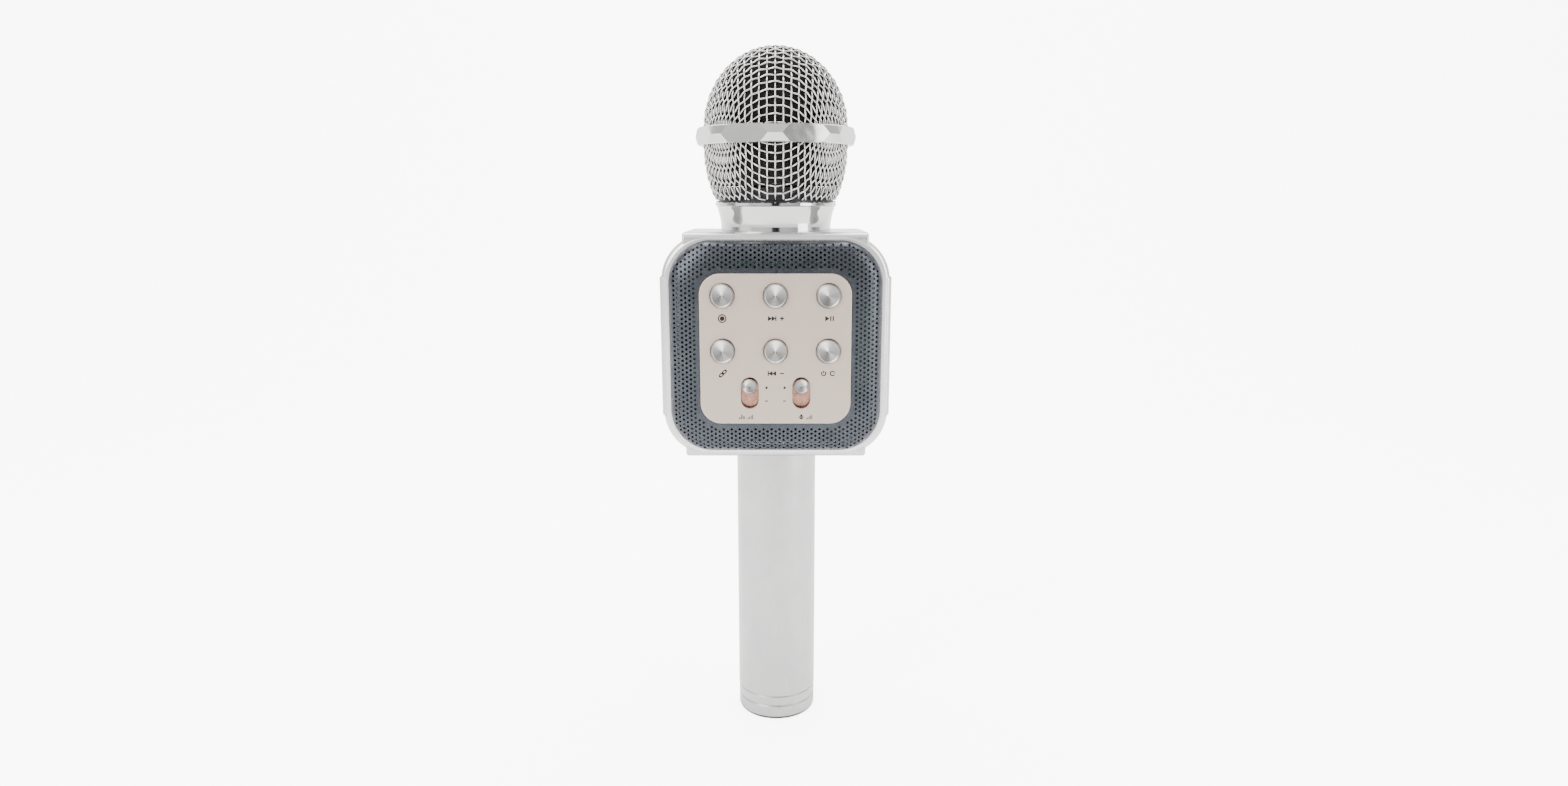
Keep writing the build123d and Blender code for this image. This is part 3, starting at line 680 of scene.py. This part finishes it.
def makeLegends():
    bm = bmesh.new()
    recordIcon(bm)
    skipIcon(bm, "next_button", 1)
    skipIcon(bm, "previous_button", -1)
    playIcon(bm)
    chainIcon(bm)
    powerIcon(bm)
    trayLow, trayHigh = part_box("slider_trays")
    sliderIcons(bm, trayLow.z - legend["sliderGap"])
    volumeSigns(bm, (trayLow.z + trayHigh.z) / 2)
    piece = finishMesh(bm, "panelIcons", "root")
    ink = newMaterial("printedInk", (0.01, 0.01, 0.01), 0.0, 0.6, Specular_IOR_Level=0.12)
    varyColour(ink, noiseOf(ink, 0.3 * mm), (0.006, 0.006, 0.006), (0.016, 0.015, 0.014))
    piece.data.materials.append(ink)
    print("icons made")


def satinAluminium():
    made = newMaterial("satinAluminium", (0.42, 0.411, 0.405), 0.92, 0.32)
    varyColour(made, noiseOf(made, 9 * mm), (0.4, 0.391, 0.386), (0.44, 0.431, 0.423))
    varyRoughness(made, noiseOf(made, 0.5 * mm, stretch=(1, 1, 0.06)), 0.26, 0.38)
    addBump(made, noiseOf(made, 0.15 * mm), 0.006 * mm)
    return made


def brightChrome():
    made = newMaterial("brightChrome", (0.5, 0.495, 0.485), 1.0, 0.05)
    varyRoughness(made, noiseOf(made, 4 * mm), 0.03, 0.09)
    addBump(made, noiseOf(made, 14 * mm, 1.0), 0.05 * mm, 0.25)
    return made


def housingSilver():
    made = newMaterial("housingSilver", (0.56, 0.56, 0.56), 0.75, 0.2, Coat_Weight=0.6, Coat_Roughness=0.06)
    varyColour(made, noiseOf(made, 0.12 * mm), (0.51, 0.51, 0.51), (0.61, 0.61, 0.61))
    varyRoughness(made, noiseOf(made, 2.5 * mm), 0.16, 0.26)
    addBump(made, noiseOf(made, 0.9 * mm), 0.004 * mm)
    return made


def trimSilver():
    made = newMaterial("trimSilver", (0.5, 0.5, 0.5), 0.88, 0.3)
    varyColour(made, noiseOf(made, 0.16 * mm), (0.45, 0.45, 0.45), (0.55, 0.55, 0.55))
    varyRoughness(made, noiseOf(made, 3 * mm), 0.24, 0.36)
    addBump(made, noiseOf(made, 0.2 * mm), 0.006 * mm)
    return made


def panelChampagne():
    made = newMaterial("panelChampagne", (0.41, 0.335, 0.285), 0.55, 0.36)
    varyColour(made, noiseOf(made, 0.14 * mm), (0.385, 0.31, 0.26), (0.435, 0.36, 0.31))
    varyRoughness(made, noiseOf(made, 2 * mm), 0.3, 0.42)
    addBump(made, noiseOf(made, 0.18 * mm), 0.005 * mm)
    return made


# where the painted highlight wedge of each turned button face points, in degrees from upright
buttonPaintedHighlightAngles = {
    "record_button": -9,
    "next_button": 4,
    "play_button": -38,
    "pairing_button": -14,
    "previous_button": 2,
    "power_button": -30,
    "remix_slider": 8,
    "mic_slider": -4,
}


def spunSilverWithPaintedHighlight(node):
    # fine turned rings round the button's own middle, with two bright wedges of painted highlight in the base
    # colour at a fixed angle
    made = newMaterial(node + "SpunPaintedHighlight", (0.6, 0.59, 0.575), 1.0, 0.26, Anisotropic=0.8)
    offset = addNode(made, "ShaderNodeVectorMath", operation="SUBTRACT")
    offset.inputs[1].default_value = middleOf(node)
    link(made, objectCoordinates(made), offset.inputs[0])
    flat = addNode(made, "ShaderNodeVectorMath", operation="MULTIPLY")
    flat.inputs[1].default_value = (1, 0, 1)
    link(made, offset.outputs[0], flat.inputs[0])
    radius = addNode(made, "ShaderNodeVectorMath", operation="LENGTH")
    link(made, flat.outputs[0], radius.inputs[0])
    rings = addNode(made, "ShaderNodeTexNoise", noise_dimensions="1D")
    rings.inputs["Scale"].default_value = 1 / (0.09 * mm)
    rings.inputs["Detail"].default_value = 1.0
    link(made, radius.outputs["Value"], rings.inputs["W"])
    around = addNode(made, "ShaderNodeVectorMath", operation="CROSS_PRODUCT")
    around.inputs[1].default_value = (0, 1, 0)
    link(made, flat.outputs[0], around.inputs[0])
    tangent = addNode(made, "ShaderNodeVectorMath", operation="NORMALIZE")
    link(made, around.outputs[0], tangent.inputs[0])
    link(made, tangent.outputs[0], shaderOf(made).inputs["Tangent"])
    lean = math.radians(buttonPaintedHighlightAngles[node])
    # painted highlight: the base colour is brightest in two wedges where the rings run along the fixed angle
    # above
    beam = addNode(made, "ShaderNodeVectorMath", operation="DOT_PRODUCT")
    beam.inputs[1].default_value = (math.cos(lean), 0, -math.sin(lean))
    link(made, tangent.outputs[0], beam.inputs[0])
    evenly = addNode(made, "ShaderNodeMath", operation="ABSOLUTE")
    link(made, beam.outputs["Value"], evenly.inputs[0])
    wedge = addNode(made, "ShaderNodeMath", operation="POWER")
    wedge.inputs[1].default_value = 7
    link(made, evenly.outputs[0], wedge.inputs[0])
    # ring noise plus the painted highlight wedges set the base colour
    ringsAndPaintedHighlight = addNode(made, "ShaderNodeMath", operation="MULTIPLY_ADD")
    ringsAndPaintedHighlight.inputs[1].default_value = 0.35
    link(made, rings.outputs["Fac"], ringsAndPaintedHighlight.inputs[0])
    link(made, wedge.outputs[0], ringsAndPaintedHighlight.inputs[2])
    varyColour(made, ringsAndPaintedHighlight.outputs[0], (0.2, 0.195, 0.187), (0.66, 0.65, 0.63), 0.1, 1.1)
    addBump(made, rings.outputs["Fac"], 0.004 * mm)
    return made


def copperFoil():
    made = newMaterial("copperFoil", (0.5, 0.22, 0.14), 1.0, 0.25)
    varyColour(made, noiseOf(made, 2.2 * mm), (0.22, 0.11, 0.078), (0.33, 0.185, 0.138))
    varyRoughness(made, noiseOf(made, 0.6 * mm), 0.16, 0.34)
    return made


def plastic(name, colour, roughness, grain=0.25 * mm):
    made = newMaterial(name, colour, 0.0, roughness)
    darker = tuple(0.75 * value for value in colour)
    varyColour(made, noiseOf(made, 1.5 * mm), darker, colour)
    varyRoughness(made, noiseOf(made, 0.8 * mm), roughness - 0.08, roughness + 0.08)
    addBump(made, noiseOf(made, grain), 0.01 * mm)
    return made


def metal(name, colour, roughness, stretch=(1, 1, 1), grain=0.3 * mm):
    made = newMaterial(name, colour, 1.0, roughness)
    darker = tuple(0.82 * value for value in colour)
    varyColour(made, noiseOf(made, 2 * mm), darker, colour)
    varyRoughness(made, noiseOf(made, grain, stretch=stretch), roughness - 0.08, roughness + 0.1)
    addBump(made, noiseOf(made, grain, stretch=stretch), 0.006 * mm)
    return made


def banded(name, colour, other, spacing, axis, metallic=0.0, roughness=0.5):
    # even bands along one axis, such as a coil's turns
    made = newMaterial(name, colour, metallic, roughness)
    wave = addNode(made, "ShaderNodeTexWave", wave_type="BANDS", bands_direction=axis)
    wave.inputs["Scale"].default_value = 0.314 / spacing  # one band for each spacing
    link(made, objectCoordinates(made), wave.inputs["Vector"])
    varyColour(made, wave.outputs["Fac"], other, colour, 0.1, 0.9)
    addBump(made, wave.outputs["Fac"], 0.25 * spacing)
    return made


def circuitBoard():
    made = newMaterial("circuitBoard", (0.02, 0.16, 0.07), 0.0, 0.3, Coat_Weight=0.4, Coat_Roughness=0.15)
    tracks = addNode(made, "ShaderNodeTexBrick")
    tracks.inputs["Scale"].default_value = 1 / (2.2 * mm)
    tracks.inputs["Mortar Size"].default_value = 0.06
    link(made, objectCoordinates(made, rotation=(math.radians(90), 0, 0)), tracks.inputs["Vector"])
    varyColour(made, tracks.outputs["Fac"], (0.015, 0.13, 0.055), (0.05, 0.26, 0.12), 0, 1)
    addBump(made, tracks.outputs["Fac"], 0.02 * mm)
    return made


def dressEverything():
    dress(satinAluminium(), "handle_tube", "tail_cap")
    dress(brightChrome(), "neck_collar", "grille_ring")
    dress(housingSilver(), "front_housing", "rear_housing")
    dress(trimSilver(), "top_trim", "bottom_trim", "left_trim", "right_trim")
    dress(panelChampagne(), "control_panel")
    for name in buttonPaintedHighlightAngles:
        dress(spunSilverWithPaintedHighlight(name), name)
    dress(copperFoil(), "slider_trays")
    dress(plastic("blackPlastic", (0.022, 0.022, 0.024), 0.45),
          "tail_base", "front_baffle", "rear_baffle", "switch_bodies")
    dress(plastic("greyPlastic", (0.16, 0.16, 0.17), 0.5),
          "battery_carrier", "handle_socket", "capsule_holder", "slider_pots")
    dress(metal("springSteel", (0.62, 0.62, 0.63), 0.22), "contact_spring")
    dress(metal("nickelPlate", (0.7, 0.68, 0.64), 0.25),
          "cell_contacts", "usb_socket", "card_slot", "radio_module", "mic_capsule")
    dress(metal("blackenedSteel", (0.03, 0.03, 0.032), 0.4), "head_base_ring")
    dress(metal("zincSteel", (0.6, 0.6, 0.58), 0.32), "speaker_yoke", "speaker_frame")
    dress(metal("screwSteel", (0.5, 0.5, 0.5), 0.3),
          "socket_screws", "housing_screws", "board_screws", "speaker_screws")
    dress(plastic("cellWrap", (0.04, 0.13, 0.36), 0.3), "battery_cell")
    dress(circuitBoard(), "control_board")
    dress(plastic("chipBlack", (0.03, 0.03, 0.033), 0.4), "board_chips", "capacitors", "audio_jack")
    dress(metal("ferrite", (0.1, 0.1, 0.1), 0.6), "speaker_magnet")
    dress(plastic("conePaper", (0.07, 0.066, 0.06), 0.8, 0.4 * mm), "speaker_cone")
    dress(banded("coilWire", (0.7, 0.32, 0.16), (0.35, 0.14, 0.07), 0.2 * mm, "Y", 1.0, 0.3), "voice_coil")
    dress(plastic("softRubber", (0.03, 0.03, 0.03), 0.7), "speaker_surround", "capsule_boot")
    dress(plastic("spiderCloth", (0.5, 0.37, 0.18), 0.85, 0.5 * mm), "speaker_spider")
    dress(plastic("leadJacket", (0.45, 0.05, 0.04), 0.45), "inner_leads")
    print("finishes set")


studio = {
    "floorSize": 3.0,
    "backY": 0.9,
    "backHeight": 2.4,
    "bend": 0.5,            # how far the paper's bend reaches each way
    "cameraPlace": (3.0 * mm, -362.1 * mm, 202.5 * mm),
    "pitch": 78.5,
    "lens": 22.06,
    "backdrop": 8.0,        # what the camera sees past the paper
    "tableGlow": 6.0,       # the paper is lit from below as well
    "mirroredGlow": 0.5,    # how bright that paper is in the metal's reflections
    "ceiling": 1.7,
    "aim": (0, 0, 0.15),
    # how bright the room is, by degrees round from the front, seen from the microphone
    "walls": ((-180, 2.4), (-104, 1.1), (-86, 0.45), (-76, 2.4), (-56, 2.4), (-49, 1.4), (-31, 1.6),
              (-10, 1.3), (-6, 0.05), (6, 0.05), (10, 1.2), (30, 1.1), (49, 0.7), (56, 2.4), (74, 2.4),
              (84, 0.45), (104, 1.1), (180, 2.4)),
}


def softbox(name, place, size, power, aim=studio["aim"]):
    light = bpy.data.lights.new(name, "AREA")
    light.shape = "RECTANGLE"
    light.size, light.size_y = size
    light.energy = power
    lamp = bpy.data.objects.new(name, light)
    bpy.context.scene.collection.objects.link(lamp)
    lamp.location = place
    lamp.visible_camera = False
    lamp.rotation_euler = (Vector(aim) - Vector(place)).to_track_quat("-Z", "Y").to_euler()


def makeStage():
    bm = bmesh.new()
    size = studio["floorSize"]
    bmesh.ops.create_grid(bm, x_segments=1, y_segments=1, size=size)
    back = [e for e in bm.edges if all(v.co.y > 0 for v in e.verts)]
    foot = list({v for e in back for v in e.verts})
    bmesh.ops.translate(bm, verts=foot, vec=(0, studio["backY"] - size, 0))
    sweep = bmesh.ops.extrude_edge_only(bm, edges=back)["geom"]
    tops = [g for g in sweep if isinstance(g, bmesh.types.BMVert)]
    bmesh.ops.translate(bm, verts=tops, vec=(0, 0, studio["backHeight"]))
    bend = [e for e in bm.edges if all(v in foot for v in e.verts)]
    bmesh.ops.bevel(bm, geom=bend, offset=studio["bend"], offset_type="OFFSET", segments=24, profile=0.5,
                    affect="EDGES", material=-1)
    for face in bm.faces:
        face.smooth = True
    mesh = bpy.data.meshes.new("paperSweep")
    bm.to_mesh(mesh)
    bm.free()
    floor = bpy.data.objects.new("paperSweep", mesh)
    bpy.context.scene.collection.objects.link(floor)
    paper = newMaterial("whitePaper", (0.93, 0.93, 0.93), 0.0, 0.85)
    varyColour(paper, noiseOf(paper, 3 * mm), (0.92, 0.92, 0.92), (0.94, 0.94, 0.94))
    shaderOf(paper).inputs["Emission Color"].default_value = (1, 1, 1, 1)
    path = addNode(paper, "ShaderNodeLightPath")
    glow = blendValues(paper, path.outputs["Is Camera Ray"], studio["mirroredGlow"], studio["tableGlow"])
    link(paper, glow, shaderOf(paper).inputs["Emission Strength"])
    mesh.materials.append(paper)
    print("paper laid")


def roomLight():
    # a tent of white walls with dark gaps, so that bright metal has something to show
    world = bpy.data.worlds.new("studioRoom")
    world.use_nodes = True
    background = world.node_tree.nodes["Background"]
    background.inputs["Color"].default_value = (1, 1, 1, 1)
    way = addNode(world, "ShaderNodeTexCoord")
    axes = addNode(world, "ShaderNodeSeparateXYZ")
    link(world, way.outputs["Generated"], axes.inputs["Vector"])
    # degrees round from the front, which is -Y
    forward = addNode(world, "ShaderNodeMath", operation="MULTIPLY")
    forward.inputs[1].default_value = -1
    link(world, axes.outputs["Y"], forward.inputs[0])
    turn = addNode(world, "ShaderNodeMath", operation="ARCTAN2")
    link(world, axes.outputs["X"], turn.inputs[0])
    link(world, forward.outputs[0], turn.inputs[1])
    place = spread(world, turn.outputs[0], 0, 1, -math.pi, math.pi)
    walls = addNode(world, "ShaderNodeValToRGB")
    stops = walls.color_ramp.elements
    brightest = max(value for angle, value in studio["walls"])
    for count, (angle, value) in enumerate(studio["walls"]):
        where = angle / 360 + 0.5
        stop = stops[count] if count < 2 else stops.new(where)
        stop.position = where
        grey = value / brightest
        stop.color = (grey, grey, grey, 1)
    link(world, place, walls.inputs["Fac"])
    scaled = addNode(world, "ShaderNodeMath", operation="MULTIPLY")
    scaled.inputs[1].default_value = brightest
    link(world, walls.outputs["Color"], scaled.inputs[0])
    high = spread(world, axes.outputs["Z"], 0, 1, 0.2, 0.55)
    level = blendValues(world, high, scaled.outputs[0], studio["ceiling"])
    path = addNode(world, "ShaderNodeLightPath")
    seen = blendValues(world, path.outputs["Is Camera Ray"], level, studio["backdrop"])
    link(world, seen, background.inputs["Strength"])
    bpy.context.scene.world = world


def lightScene():
    roomLight()
    softbox("keyBox", (-0.7, -0.7, 0.75), (0.6, 0.9), 14)
    softbox("fillBox", (0.8, -0.5, 0.4), (0.4, 0.9), 7)
    softbox("topBox", (0, 0.1, 1.1), (0.9, 0.6), 9)
    softbox("backdropBox", (0, 0.3, 1.3), (1.6, 0.4), 16, (0, 0.9, 0.3))
    print("lights set")


def placeCamera():
    lens = bpy.data.cameras.new("camera")
    lens.lens = studio["lens"]
    lens.sensor_width = 36
    lens.clip_start = 0.01
    camera = bpy.data.objects.new("camera", lens)
    bpy.context.scene.collection.objects.link(camera)
    camera.location = studio["cameraPlace"]
    camera.rotation_euler = (math.radians(studio["pitch"]), 0, 0)
    bpy.context.scene.camera = camera
    print("camera placed")


makeHeadMesh()
makeFoam()
makeGrilles()
makeLegends()
dressEverything()
makeStage()
lightScene()
placeCamera()

bpy.context.view_layer.update()
